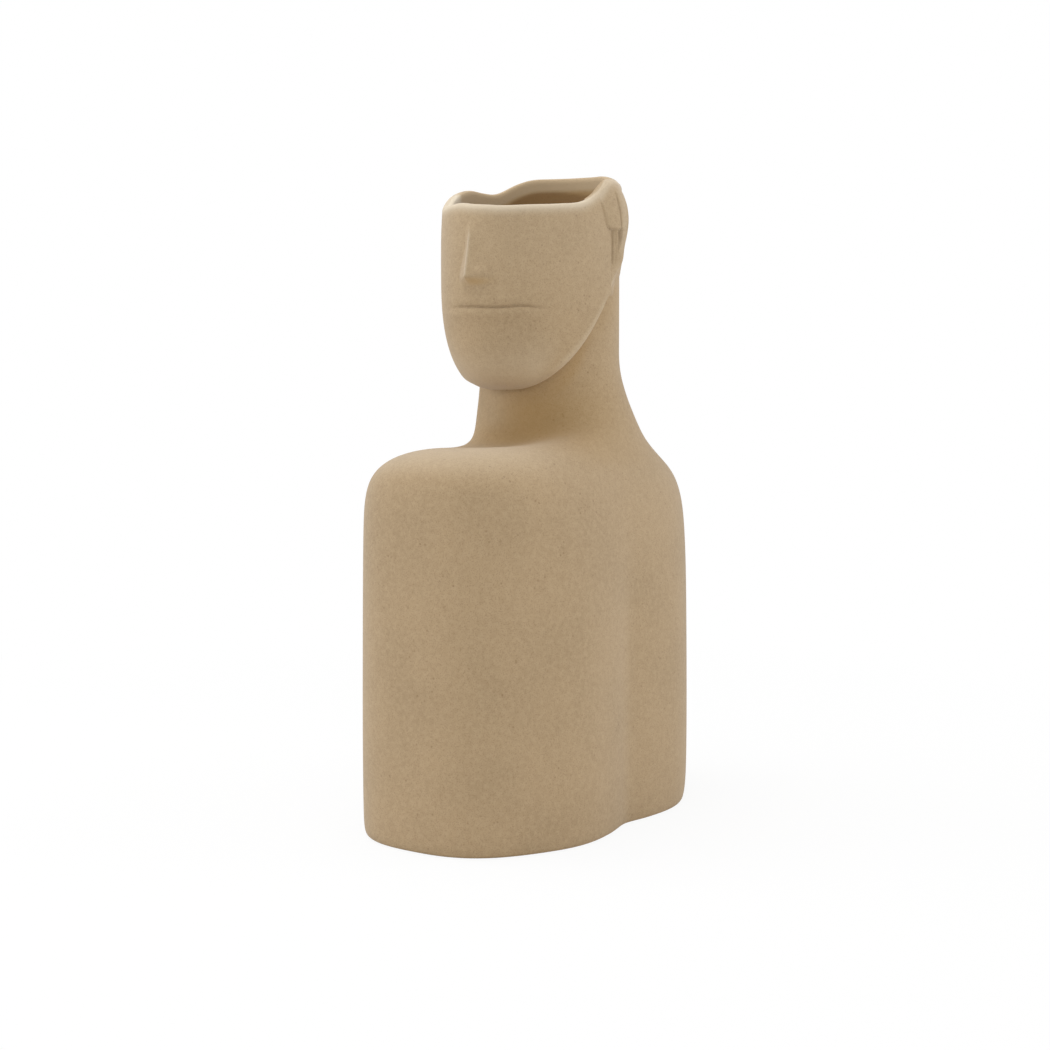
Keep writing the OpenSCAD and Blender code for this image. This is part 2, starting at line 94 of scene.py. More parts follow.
# Span at which the shells end and the neck begins, the number of spans, and the span up to which the
# inner side stands upright round the floor slab
SEAM_RING, SPANS, FOOT_SPAN = 13, len(RINGS) + 1, 3.0

# Across the chest, in shares of half the width: place and width of the lobes, width of the valley
LOBE_AT, LOBE_WIDTH, VALLEY_WIDTH = 0.45, 0.26, 0.13
# The foot's outline is askew by this share of its reach, fading over this share of the height
ASKEW, ASKEW_H = 0.01, 0.16


def smooth(x):
    """Rises from 0 to 1 with flat ends while x goes from 0 to 1."""
    t = np.clip(x, 0, 1)
    return t * t * (3 - 2 * t)


def bell(x, width):
    """Falls from 1 at x = 0 to nothing a few widths away."""
    return np.exp(-(x / width) ** 2)


def mix(a, b, t):
    """Goes straight from a to b as t goes from 0 to 1."""
    return a + (b - a) * t


def spline(rows, u):
    """Smooth skin over control rows: the uniform cubic blend of the four rows about each u, with both
    end rows held."""
    held = np.concatenate([rows[:1]] * 2 + [rows] + [rows[-1:]] * 2)
    span = np.clip(np.floor(u), 0, len(rows)).astype(int)
    t = u - span
    weights = ((1 - t) ** 3, 3 * t ** 3 - 6 * t ** 2 + 4, -3 * t ** 3 + 3 * t ** 2 + 3 * t + 1, t ** 3)
    return sum(w[:, None, None] * held[span + k] for k, w in enumerate(weights)) / 6


def normals(skin, u, a):
    """Outward directions of a skin: the cross product of its slopes round and up, each taken over a
    small step that stops at the skin's ends."""
    e = 1e-3
    along = skin(np.minimum(u + e, skin.top), a) - skin(np.maximum(u - e, 0), a)
    about = skin(u, a + e) - skin(u, a - e)
    n = np.cross(about, along)
    return n / np.maximum(np.linalg.norm(n, axis=-1, keepdims=True), 1e-12)


# Torso and flare
def ring_height(share):
    """A share up to 1 is of the shoulders' height; what is over 1 is a share of the flare's height."""
    return np.where(share <= 1, share * SHOULDER_H, SHOULDER_H + (share - 1) * FLARE_H)


def ring_rows(a):
    """Control rings at the angles a: superellipses whose halves differ, whose front has two lobes and
    a valley, and whose height changes from side to side. The foot's outline is a little askew: fuller
    at the right front and the left back."""
    neck = np.array([NECK_R - NECK_X, NECK_R + NECK_X, NECK_R, NECK_R])
    torso = np.array([TORSO_W / 2, TORSO_W / 2, TORSO_D / 2, TORSO_D / 2]) - SUNK
    reach = mix(neck, torso, RINGS[:, 4:8])
    power, share = RINGS[:, 8:9], RINGS[:, 9:10]
    c, s = np.cos(a)[None], np.sin(a)[None]
    centre = (reach[:, 1:2] - reach[:, 0:1]) / 2
    half_w = (reach[:, 1:2] + reach[:, 0:1]) / 2
    half_d = np.where(s < 0, reach[:, 2:3], reach[:, 3:4])
    r = ((np.abs(c) / half_w) ** power + (np.abs(s) / half_d) ** power) ** (-1 / power)
    r = r * (1 + ASKEW * (1 - smooth(RINGS[:, 3:4] / ASKEW_H)) * np.sin(2 * a)[None])
    across = r * c / half_w
    lobes = CHEST_SWELL * bell(np.abs(across) - LOBE_AT, LOBE_WIDTH)
    swell = share * (lobes - CHEST_VALLEY * bell(across, VALLEY_WIDTH))
    front = np.where(s < 0, swell * np.minimum(-1.5 * s, 1), 0)
    h = ring_height(RINGS[:, :4])
    side = np.where(s < 0, h[:, 2:3], h[:, 3:4])
    to_right, to_left = np.maximum(-c, 0) ** 2, np.maximum(c, 0) ** 2
    z = side + (h[:, 0:1] - side) * to_right + (h[:, 1:2] - side) * to_left
    return np.stack([centre + r * c, r * s - front, z], axis=-1)


def body_skin(u, a):
    """Outer side of the torso and the flare: the smooth skin over the rings."""
    return spline(ring_rows(a), u)


def body_wall(u):
    """Thickness of the wall: the torso's, thinning to the neck's over the upper half of the shells."""
    return mix(TORSO_WALL, NECK_WALL, smooth(u / SEAM_RING * 2 - 1))


def body_inner(u, a):
    """Inner side: upright round the floor slab, then one wall inside the outer side."""
    foot = np.array([FOOT_SPAN])
    n = normals(body_skin, foot, a)[0, :, :2]
    floor_line = body_skin(foot, a)[0, :, :2] - TORSO_WALL * n / np.linalg.norm(n, axis=-1, keepdims=True)
    heights = np.broadcast_to((BASE_T * u / FOOT_SPAN)[:, None, None], (len(u), len(a), 1))
    low = np.concatenate([np.broadcast_to(floor_line, (len(u),) + floor_line.shape), heights], axis=-1)
    high = body_skin(u, a) - body_wall(u)[:, None, None] * normals(body_skin, u, a)
    return np.where((u <= FOOT_SPAN)[:, None, None], low, high)


body_skin.top = SPANS
body_inner.top = SPANS


# Rim: angle from +X in degrees, and how far the rim rises above the front lip there, as a share of
# the rise at the nape
RIM = np.array([
    [0, 0.99], [16, 1], [32, 1], [40, 0.985], [48, 0.92], [56, 0.82], [64, 0.68], [72, 0.6], [88, 0.6],
    [96, 0.61], [104, 0.54], [112, 0.44], [120, 0.31], [128, 0.17], [136, 0.07], [148, 0], [170, 0],
    [180, -0.06], [190, -0.085], [200, -0.115], [210, -0.105], [220, -0.083], [230, -0.062],
    [240, -0.02], [246, 0.005], [252, 0.06], [259, 0.19], [265, 0.36], [269, 0.52], [273, 0.61],
    [304, 0.63], [312, 0.7], [320, 0.81], [328, 0.89], [336, 0.95], [348, 0.97], [360, 0.99],
])
# Jaw: its height at the chin as a share of the face's, its rise behind the ears, and the one at them
JAW_LOW, JAW_BACK, JAW_CORNER = 0.015, 12, 3.5
# Head's width: share of its height where it is full, the powers of its curve, and the lean at the rim
BOWL_TOP, BOWL_POWER, BOWL_ROOT, RIM_LEAN = 0.61, 2.3, 0.22, 0.03
# Share of the face's height over which the back of the head grows out of the neck
SKULL_GROWS = 0.2


def from_nape(a):
    """Angle in degrees from the middle of the back of the head."""
    d = np.degrees(a) % 360
    return np.where(d > 180, 360 - d, d)


def rim_height(a):
    """Low across the face, raised at the ears, highest over the nape: the table, evened out over a few
    degrees."""
    d = np.degrees(a)
    rise = sum(np.interp((d + turn) % 360, RIM[:, 0], RIM[:, 1]) for turn in (-4, -2, 0, 2, 4)) / 5
    return LIP_Z + NAPE_RISE * rise


def jaw_height(a):
    """Height of the crease under the jaw: it rises from the chin with the square of the turn away from
    the face, once more behind the ears, and a little at them."""
    t = from_nape(a)
    forward = np.maximum(-np.cos(a), 0)
    back = JAW_BACK * smooth((90 - t) / 35)
    return CHIN_Z + FACE_H * JAW_LOW + JAW_RISE * (1 - forward) ** 2 + back + JAW_CORNER * bell(t - 92, 14)


def overhang(a):
    """1 where the head stands out over the neck, 0 behind the ears, where it grows out of it."""
    return 1 - smooth((90 - from_nape(a)) / 30)


def head_share(z):
    """Width of the head at a height: a bowl closing at the chin, and a slight lean in at the rim."""
    up = (z - CHIN_Z) / FACE_H
    t = np.clip(up / BOWL_TOP, 0.01, 1)
    return (1 - (1 - t) ** BOWL_POWER) ** BOWL_ROOT - RIM_LEAN * smooth((up - 0.8) / 0.4)


def column(radius, a):
    """The neck's column, seen from the ear plane: where a line at each angle leaves its circle."""
    c = NECK_X - EAR_X
    d = c * np.cos(a) + np.sqrt(radius ** 2 - (c * np.sin(a)) ** 2)
    return np.stack([EAR_X + d * np.cos(a), d * np.sin(a)], axis=-1)


def head_outline(a, z, inset):
    """Egg outline at a height, which grows out of the neck's column behind the ear plane."""
    share = head_share(z - inset)
    reach = np.where(np.cos(a) < 0, FACE_REACH, SKULL_REACH)
    egg = np.stack([EAR_X + (reach * share - inset) * np.cos(a),
                    (HEAD_HALF_W * share - inset) * np.sin(a)], axis=-1)
    grown = smooth((z - jaw_height(0.0)) / (FACE_H * SKULL_GROWS))
    w = 1 - (1 - grown) * (1 - overhang(a))
    return mix(column(NECK_R - inset, a), egg, w[..., None])


# Rows under the jaw: shares of the way out from the column and heights over the jaw's line, both where
# the head overhangs, and the gap between the rows where it doesn't
UNDER_SHARES, UNDER_RISES, PLAIN_GAP = [0, 0.5, 0.88, 1], [4, 1.6, 0.2, 1.2], 1.5
# Rows up the wall: shares of the face's height, the first one's least height over the jaw's line
# behind and in front, and the least gap between them
LEVELS = [0.045, 0.09, 0.14, 0.2, 0.27, 0.34, 0.41, 0.48, 0.55, 0.62, 0.69, 0.76, 0.83, 0.89, 0.94, 0.97]
LIFT_BEHIND, LIFT_IN_FRONT, LEAST_GAP = 4.5, 1.2, 1.0
# Rows over the rounded rim: drop below its top, and draw inwards on the outer and on the inner side
LIP = [(2.2, 0.0, 0.0), (0.7, 0.45, 0.35), (0.0, 1.6, 1.2)]

SIDE_ROWS = len(UNDER_SHARES) + len(LEVELS) + len(LIP)
HEAD_SPANS = 2 * SIDE_ROWS + 1


def side_rows(a, inset):
    """Rows of one side of the head's wall, from the crease under the jaw up to the rim."""
    over, zj, rim = overhang(a), jaw_height(a), rim_height(a)
    rows = []
    for k, share in enumerate(UNDER_SHARES):
        edge = head_outline(a, zj + inset * over, inset)
        p = mix(column(NECK_R - inset, a), edge, (mix(1, share, over) * (k > 0))[..., None])
        z = zj + mix(PLAIN_GAP * k, UNDER_RISES[k], over) + inset * over
        rows.append(np.concatenate([p, z[..., None]], axis=-1))
    lift = mix(LIFT_BEHIND, LIFT_IN_FRONT, over)
    for k, share in enumerate(LEVELS):
        low = np.maximum(CHIN_Z + share * FACE_H, zj + lift + LEAST_GAP * (k + 1))
        z = low + (rim - LIP_Z) * smooth((share - 0.5) / 0.5)
        rows.append(np.concatenate([head_outline(a, z, inset), z[..., None]], axis=-1))
    for drop, draw, draw_inner in LIP:
        z = rim - drop
        p = head_outline(a, z, inset - draw_inner if inset > 0 else draw)
        rows.append(np.concatenate([p, z[..., None]], axis=-1))
    return rows


def head_rows(a):
    """Rows up the outer side, over the rounded rim and down the inner side."""
    return np.stack(side_rows(a, 0.0) + side_rows(a, NECK_WALL)[::-1])


def level_at(z):
    """Place on the head's outer side, counted in spans, at a height."""
    return len(UNDER_SHARES) + np.interp(z - CHIN_Z, np.array(LEVELS) * FACE_H, range(len(LEVELS))) + 1


def below_rim(p):
    """How far a point of the head's outer side lies below the rim."""
    return rim_height(np.arctan2(p[..., 1], p[..., 0] - EAR_X)) - p[..., 2]


# Mouth: turn of its middle from the nose and half the length of slit and lips, in degrees, and the
# slit's width
MOUTH_TURN, MOUTH_HALF, LIPS_HALF, SLIT = 12, 29, 42, 0.62
# Lips, and the hollow below them: how far each stands out, its height over the slit, and its width
LIPS = [(0.4, 3.0, 2.4), (0.7, -3.2, 2.4), (-0.45, -10.5, 4.5)]


def mouth_relief(p):
    """A slit that droops in its middle and at its left end, with soft lips either side and a hollow
    below; its middle lies a little to the right of the nose."""
    x, y, z = p[..., 0], p[..., 1], p[..., 2]
    side = np.degrees(np.arctan2(y, EAR_X - x)) + MOUTH_TURN
    line = MOUTH_Z - 0.9 * bell(side, 11) - 1.3 * smooth((-side - 13) / 14)
    d = z - line
    slit = -MOUTH_DEPTH * bell(d, SLIT) * smooth((MOUTH_HALF - np.abs(side)) / 15)
    lips = sum(out * bell(d - over, width) for out, over, width in LIPS)
    return np.where(x < EAR_X, slit + lips * smooth((LIPS_HALF - np.abs(side)) / 28), 0)


# Ear: height over which it is measured plumb, and how far behind the ear plane its front crease, its
# outer edge and its root lie
EAR_PLUMB, EAR_FRONT, EAR_CREST, EAR_ROOT = 50.0, 1.1, 8.0, 20.0
# The front crease steps forward half way up and leans on from there; the outer edge is shorter
CREASE_AT, CREASE_STEP, CREASE_LEAN, EDGE_SHORTER = 0.5, 3, 20, 7.5
# Depth to which the bowl is pressed into the head
BOWL_DEPTH = 1.7
# The rim's inner edge is thicker at the right corner of the face: by this much, at this angle
CORNER_THICKER, CORNER_AT = 3.0, 162


def ear_place(p):
    """How far up the ear a point lies, on its slanting lobe and measured plumb, and how far from the
    front crease (0) over the outer edge (1) to the root behind (2)."""
    x, z = p[..., 0], p[..., 2]
    plumb = (z - EAR_TOP) / EAR_PLUMB + 1
    step = CREASE_STEP * smooth((plumb - CREASE_AT) / 0.03)
    front = EAR_X + EAR_FRONT - step - CREASE_LEAN * np.maximum(plumb - CREASE_AT, 0)
    crest, root = EAR_X + EAR_CREST, EAR_X + EAR_ROOT
    w = np.where(x < crest, (x - front) / (crest - front), 1 + (x - crest) / (root - crest))
    w = np.clip(w, 0, 2)
    up = 1 - (EAR_TOP - z) / (EAR_H - EDGE_SHORTER * np.minimum(w, 1))
    return np.clip(up, 0, 1), plumb, w


def ear_bowl(p):
    """Where the bowl of the ear is hollowed out, from 0 to 1: between the front crease and the rolled
    edge, shorter at the back than in front."""
    _, plumb, w = ear_place(p)
    low = 0.14 + 0.2 * smooth((w - 0.4) / 0.2)
    return (smooth((w - 0.05) / 0.07) * smooth((0.7 - w) / 0.09)
            * smooth((plumb - low) / 0.12) * smooth((below_rim(p) - 4.5) / 3))


def ear_out(p):
    """Direction in which the ear on that side leans out."""
    side = np.where(p[..., 1] < 0, -1.0, 1.0)
    return np.stack([np.full_like(side, np.sin(EAR_LEAN)), side * np.cos(EAR_LEAN), 0 * side], axis=-1)


def head_plain(u, a):
    """The head's wall without its relief: the smooth skin over its rows."""
    return spline(head_rows(a), u)


def head_skin(u, a):
    """Skin of the head with the mouth and the bowls of the ears pressed into its outer side. The rim is
    thicker at the right corner of the face."""
    p = head_plain(u, a)
    c = np.stack([np.cos(a), np.sin(a), np.zeros_like(a)], axis=-1)
    thicker = CORNER_THICKER * smooth((u - SIDE_ROWS) / 3)[:, None] * bell(np.degrees(a) - CORNER_AT, 18)
    p = p - (thicker * smooth(1 - (rim_height(a) - p[..., 2]) / 10))[..., None] * c
    outer = smooth((SIDE_ROWS - 2 - u) / 2)[:, None]
    pressed = p + (mouth_relief(p) * outer)[..., None] * c[None]
    return pressed - (BOWL_DEPTH * ear_bowl(p) * (u < SIDE_ROWS)[:, None])[..., None] * ear_out(p)


head_plain.top = HEAD_SPANS
head_skin.top = HEAD_SPANS


# Applied pieces: relief that rises over the head's skin. The angles that each covers, from, to and
# step in degrees, its lowest row and the step between its rows in spans, and its depth in the wall
NOSE_ANGLES, NOSE_ROWS, NOSE_DEPTH = (162, 198.1, 0.16), 0.05, 0.5
EAR_ANGLES, EAR_LOWEST, EAR_ROWS, EAR_DEPTH = (56, 104.1, 0.25), 7.0, 0.08, 3.0
FOLD_ANGLES, FOLD_LOWEST = (80, 102.1, 0.14), 12.5
# Nose: height of its sloping under side, its width at the base and higher up, and its right half's
# width, the last three as shares
NOSE_UNDER, NOSE_WIDE, NOSE_NARROW, NOSE_RIGHT = 5.0, 1.1, 0.52, 0.62
# Wing of the nostril: how far it stands out, and its place left of the ridge and over the tip
WING_OUT, WING_LEFT, WING_UP = 1.3, 7.0, 1.6


def nose_relief(p):
    """Ridge highest at the tip, fading up the face, over a sloping under side. Its sides are hollow, and
    the left side spreads into the wing of the nostril at the base; the right side is steeper."""
    y, z = p[..., 1], p[..., 2]
    above = z - NOSE_Z
    along = np.clip(above / NOSE_L, 0, 1)
    ridge = np.where(above < 0, smooth(1 + above / NOSE_UNDER), (1 - along) ** 1.1)
    narrowing = mix(NOSE_WIDE, NOSE_NARROW, smooth(above / 15))
    half = NOSE_HALF_W * narrowing * np.where(y > 0, NOSE_RIGHT, 1.0)
    across = np.clip(1 - np.abs(y) / half, 0, 1)
    wing = WING_OUT * bell(y + WING_LEFT, 2.8) * bell(above - WING_UP, 3.2)
    return NOSE_REACH * ridge * across ** 1.3 + wing


def ear_rise(up):
    """How far the ear stands out at a height: half a sine wave, drawn up and with blunt ends."""
    return np.sin(np.pi * up ** 1.42) ** 0.85


def ear_relief(p):
    """A fin that rises to its rolled outer edge; in front of it a bowl with two upright hollows and a
    ridge between them. The lobe is a little fuller than the fin above it."""
    up, plumb, w = ear_place(p)
    profile = ear_rise(up) + 0.3 * bell(up - 0.14, 0.13) * smooth(up / 0.06)
    front = mix(w ** 0.9, smooth(np.minimum(w, 1)), smooth((plumb - 0.66) / 0.2))
    fin = profile * np.where(w < 1, front, np.clip(2 - w, 0, 1) ** 1.2)
    ridge = 2.3 * smooth((w - 0.12) / 0.1) + 1.4 * smooth((w - 0.2) / 0.2)
    floor = ridge - 1.3 - mix(2.2, 0.6, smooth((plumb - 0.44) / 0.1)) * smooth((w - 0.42) / 0.08)
    return mix(EAR_REACH * fin, floor, ear_bowl(p))


def fold_relief(p):
    """A tab that bridges the upper part of the bowl, with a free lower edge. It comes out of the ear
    below the rim, and elsewhere it lies below the ear's skin."""
    up, plumb, w = ear_place(p)
    tab = 0.7 + EAR_REACH * 0.93 * ear_rise(up) * w ** 0.9
    here = smooth((plumb - 0.505) / 0.014) * smooth((w + 0.02) / 0.05) * smooth((0.63 - w) / 0.05)
    return mix(ear_relief(p) - 0.35, tab, here * smooth(below_rim(p) / 8))


def applied_skin(relief, direction):
    """The head's plain skin, moved along a direction by a relief; where that is nothing it lies just
    under."""
    def skin(u, a):
        p = head_plain(u, a)
        return p + (relief(p) - SUNK)[..., None] * direction
    skin.top = HEAD_SPANS
    return skin


# Neck
def about_neck(line):
    """Angle and distance of a line's points round the neck's axis."""
    x, y = line[:, 0] - NECK_X, line[:, 1]
    return np.unwrap(np.arctan2(y, x)), np.hypot(x, y)


def neck_skin(lower, inset):
    """From the end of the flare's side to the crease under the jaw, round the column all the way: the
    angle, the distance from the axis and the height go straight from one line to the other."""
    def skin(u, a):
        start, end = lower(np.array([float(SPANS)]), a)[0], side_rows(a, inset)[0]
        t = u[:, None]
        turn, r = (mix(low[None], high[None], t) for low, high in zip(about_neck(start), about_neck(end)))
        z = mix(start[None, :, 2], end[None, :, 2], t)
        return np.stack([NECK_X + r * np.cos(turn), r * np.sin(turn), z], axis=-1)
    skin.top = 1
    return skin


# Painted light and shade kept on the meshes: brown painted shade, with its value all over the inner
# side and the most it reaches elsewhere, painted light, and painted shade inside
INSIDE_WARM_SHADE, MOST_WARM_SHADE = 1.3, 1.2
# Painted light on the head's inner side down to this depth under the rim; at the right corner of the
# face it reaches a little lower, between these angles, with no painted shade there
PAINTED_LIGHT_DEPTH, LIT_CORNER_DEPTH, LIT_CORNER_FROM, LIT_CORNER_TO = 8.5, 9, 106, 170


def out_from_neck(points):
    """Distance outside the neck's column, reckoned less along X."""
    return np.hypot((points[..., 0] - NECK_X) / 1.25, points[..., 1]) - NECK_R


def turn_about_neck(points):
    """Angle round the neck's axis, in degrees from 0 to 360."""
    return np.degrees(np.arctan2(points[..., 1], points[..., 0] - NECK_X)) % 360


def painted_warm_shade(points):
    """Painted brown shade where shade falls: under the jaw and round the foot of the neck, most of all at
    the right front, on the side in shade; a painted contact shadow along the vase's foot; and painted
    shade under the tip of the nose."""
    x, y, z = points.T
    out = out_from_neck(points)
    below_jaw = z - jaw_height(np.arctan2(y, x - EAR_X)) + 6
    under = bell(below_jaw, 11) * (z < CHIN_Z + JAW_RISE + 12) * bell(out, 9)
    foot = bell(np.maximum(z - SHOULDER_H - 12, 0), 20) * bell(np.maximum(out - 4, 0), 14)
    foot = foot * smooth((z - SHOULDER_H + 16) / 10)
    shaded = 0.25 + 0.95 * bell(turn_about_neck(points) - 200, 42)
    nose = bell(z - NOSE_Z + 2.4, 1.5) * bell(y + 3.5, 6.0) * (x < EAR_X - FACE_REACH * 0.8)
    return np.clip(np.maximum(under, foot) * shaded + 0.7 * bell(z, 1.2) + nose, 0, MOST_WARM_SHADE)


def top_painted_light(points, facing):
    """Painted light where the clay faces up, fading out near the neck, where the head shades it."""
    return 0.18 * smooth((facing[..., 2] - 0.35) / 0.65) * smooth((out_from_neck(points) - 14) / 26)


def face_painted_light(points):
    """Painted light: the upper part of the head and the neck behind it are a little lighter than the chin.
    """
    return 0.07 * smooth((points[..., 2] - CHIN_Z - 20) / 60)


def neck_painted_light(points, facing):
    """Painted light on the root of the flare where it faces up, on the right side of the neck, where the
    light falls, and upwards.
    """
    root = np.where(points[..., 2] < SHOULDER_H + 12, top_painted_light(points, facing), 0)
    right = 0.15 * bell(turn_about_neck(points) - 162, 20)
    return root + face_painted_light(points) + right * smooth((points[..., 2] - SHOULDER_H - 2) / 12)


def rim_painted_highlight(points, depth):
    """Painted highlight along the rounded rim, most of all on the front lip."""
    by_face = smooth((from_nape(np.arctan2(points[..., 1], points[..., 0] - EAR_X)) - 92) / 30)
    return mix(0.37, 0.68, by_face) * bell(np.maximum(depth - 0.5, 0), 3.0)


def jaw_painted_highlight(above_jaw, a):
    """Painted highlight along the jaw: a narrow edge below the ear, and painted light on a wide band
    towards the chin.
    """
    t = from_nape(a)
    by_ear = 0.2 * bell(above_jaw - 2.6, 2.8) * smooth((138 - t) / 24) * smooth((t - 86) / 12)
    return np.maximum(by_ear, 0.26 * bell(above_jaw - 5, 13) * smooth((t - 118) / 25))


def ridge_painted_highlight(p):
    """Painted highlight along the ridge of the nose, over the painted light of the face."""
    ridge = 0.38 * bell(p[..., 1], 0.7)
    return (face_painted_light(p)
            + ridge * smooth((p[..., 2] - NOSE_Z + 1) / 2) * smooth((NOSE_Z + 24 - p[..., 2]) / 8))


def edge_painted_highlight(p):
    """Painted highlight along the ear's outer edge and under its lobe, and at the rim as on the head, over
    a little painted light all over the ear.
    """
    up, plumb, w = ear_place(p)
    lobe = 0.16 * bell(up - 0.05, 0.035) * smooth(w / 0.1)
    edge = np.maximum(0.2 * bell(w - 1, 0.2) * smooth((plumb - 0.2) / 0.2), lobe)
    return 0.09 + np.maximum(edge, rim_painted_highlight(p, below_rim(p)))


def painted_inside_shade(points, a):
    """Painted shade inside the head: little down to a painted shadow line under the rim, which is highest
    at the left of the nape, then most at that line, and a little less below."""
    left = (np.degrees(a) - 25 + 180) % 360 - 180
    lower = np.where(left > 0, 0.8 * np.minimum((left / 30) ** 2, 1.5), 3.5 * smooth(-left / 50))
    depth = rim_height(a)[None] - points[..., 2] - lower[None]
    return 0.03 + 0.62 * smooth((depth - 6.2) / 1.8) * (1 - 0.12 * smooth((depth - 9) / 2.5))


# Clay
WHITE = (1, 1, 1, 1)
SAND, LIGHT_SAND = (0.365, 0.262, 0.150), (0.412, 0.296, 0.171)
PATCH, GRAIN = (0.30, 0.205, 0.115), (0.46, 0.34, 0.205)
FLECK, PIT = (0.26, 0.17, 0.09), (0.24, 0.155, 0.08)
# Colours of the brown painted shade, of painted light, and of the painted shade inside
WARM_SHADE_COLOUR, PAINTED_LIGHT_COLOUR, INSIDE_SHADE_COLOUR = (0.40, 0.245, 0.085), (0.72, 0.63, 0.49), (0.17, 0.08, 0.028)


class Wire:
    """A shader socket that can be added, subtracted and multiplied like a number."""

    def __init__(self, tree, socket=None):
        self.tree, self.socket = tree, socket

    def to(self, entry):
        """Links this to an input."""
        self.tree.links.new(self.socket, entry)

    def node(self, kind, output=0, inputs=(), **settings):
        """Output of a new node of that kind. Its settings are set first; then each input that is named
        among them, or numbered in inputs, is linked or set."""
        made = self.tree.nodes.new(kind)
        entries = dict(inputs)
        for name, value in settings.items():
            if hasattr(made, name):
                setattr(made, name, value)
            else:
                spaced = name.replace("_", " ")
                entries[spaced if spaced in made.inputs else name] = value
        for key, value in entries.items():
            if isinstance(value, Wire):
                value.to(made.inputs[key])
            else:
                made.inputs[key].default_value = value
        return Wire(self.tree, made.outputs[output])

    def math(self, operation, other):
        """A Math node on this and another socket or number."""
        return self.node("ShaderNodeMath", operation=operation, inputs={0: self, 1: other})

    def __add__(self, other): return self.math("ADD", other)
    def __radd__(self, other): return self.math("ADD", other)
    def __sub__(self, other): return self.math("SUBTRACT", other)
    def __rsub__(self, other): return self.math("MULTIPLY", -1.0).math("ADD", other)
    def __mul__(self, other): return self.math("MULTIPLY", other)
    def __rmul__(self, other): return self.math("MULTIPLY", other)

    def attribute(self, word):
        """A value kept on the mesh."""
        return self.node("ShaderNodeAttribute", "Fac", attribute_name=word)

    def ramp(self, low, high):
        """0 at low, 1 at high, smooth between them."""
        return self.node("ShaderNodeMapRange", interpolation_type="SMOOTHSTEP", Value=self,
                         From_Min=low, From_Max=high)

    def toward(self, first, second):
        """Colour that goes from the first to the second as this goes from 0 to 1."""
        ends = [end if isinstance(end, Wire) else (*end, 1.0) for end in (first, second)]
        return self.node("ShaderNodeMix", 2, data_type="RGBA", inputs={0: self, 6: ends[0], 7: ends[1]})


def new_material(name):
    """A material with only its Principled shader, and a Wire to start from."""
    made = bpy.data.materials.new(name)
    made.use_nodes = True
    return made, made.node_tree.nodes["Principled BSDF"], Wire(made.node_tree)


def make_clay():
    """Sand-coloured clay: drifting tone with browner patches, fine grain, dark specks and pits, and the
    painted light and shade that the meshes keep: brown painted shade, painted light, and painted shade on
    the inside."""
    made, shader, wire = new_material("sand_clay")
    place = wire.node("ShaderNodeTexCoord", "Object")

    def noise(scale, detail, rough=0.5):
        """Noise of so many waves to a metre."""
        return wire.node("ShaderNodeTexNoise", Vector=place, Scale=scale, Detail=detail, Roughness=rough)

    cloud, patch = noise(22.0, 3.0), noise(190.0, 3.0, 0.55)
    grain, fine = noise(480.0, 3.0, 0.6), noise(1700.0, 2.0, 0.6)
    speck = wire.node("ShaderNodeTexVoronoi", "Distance", Vector=place, Scale=330.0)
    pits = (1.0 - speck.ramp(0.08, 0.24)) * noise(70.0, 2.0).ramp(0.5, 0.66)
    tone = cloud.ramp(0.3, 0.7).toward(SAND, LIGHT_SAND)
    # The last three mix in painted light and shade: brown painted shade, painted light, painted shade
    # inside
    for share, colour in ((patch.ramp(0.42, 0.62) * 0.13, PATCH), (grain.ramp(0.3, 0.72) * 0.6, GRAIN),
                          (fine.ramp(0.5, 0.68) * 0.5, FLECK), (pits * 0.6, PIT),
                          (wire.attribute("warm_shade") * 0.5, WARM_SHADE_COLOUR), (wire.attribute("pale") * 0.9, PAINTED_LIGHT_COLOUR),
                          (wire.attribute("inside") * 0.8, INSIDE_SHADE_COLOUR)):
        tone = share.toward(tone, colour)
    height = grain * 0.6 + fine * 0.4 - pits * 0.5
    bump = wire.node("ShaderNodeBump", Height=height, Distance=0.00022, Strength=0.6)
    tone.to(shader.inputs["Base Color"])
    bump.to(shader.inputs["Normal"])
    shader.inputs["Roughness"].default_value = 0.92
    shader.inputs["Specular IOR Level"].default_value = 0.25
    shader.inputs["Sheen Weight"].default_value = 0.16
    shader.inputs["Sheen Roughness"].default_value = 0.5
    return made


clay = make_clay()
widest = body_skin(np.linspace(0, SPANS, 200), np.arange(COLUMNS) * STEP)[..., 1]
MIDDLE_Y = (widest.max() + widest.min()) / 2


# Meshes
def quads_of(rows, columns, start, wrap):
    """Quads of a grid whose vertices are numbered row by row, facing along its outward direction."""
    i, j = np.meshgrid(np.arange(rows - 1), np.arange(columns if wrap else columns - 1), indexing="ij")
    a, b = start + i * columns + j, start + i * columns + (j + 1) % columns
    return np.stack([a, b, b + columns, a + columns], axis=-1).reshape(-1, 4)


def bridge(one, other):
    """Quads between two lines of vertices that run side by side."""
    return np.stack([one[:-1], other[:-1], other[1:], one[1:]], axis=-1)


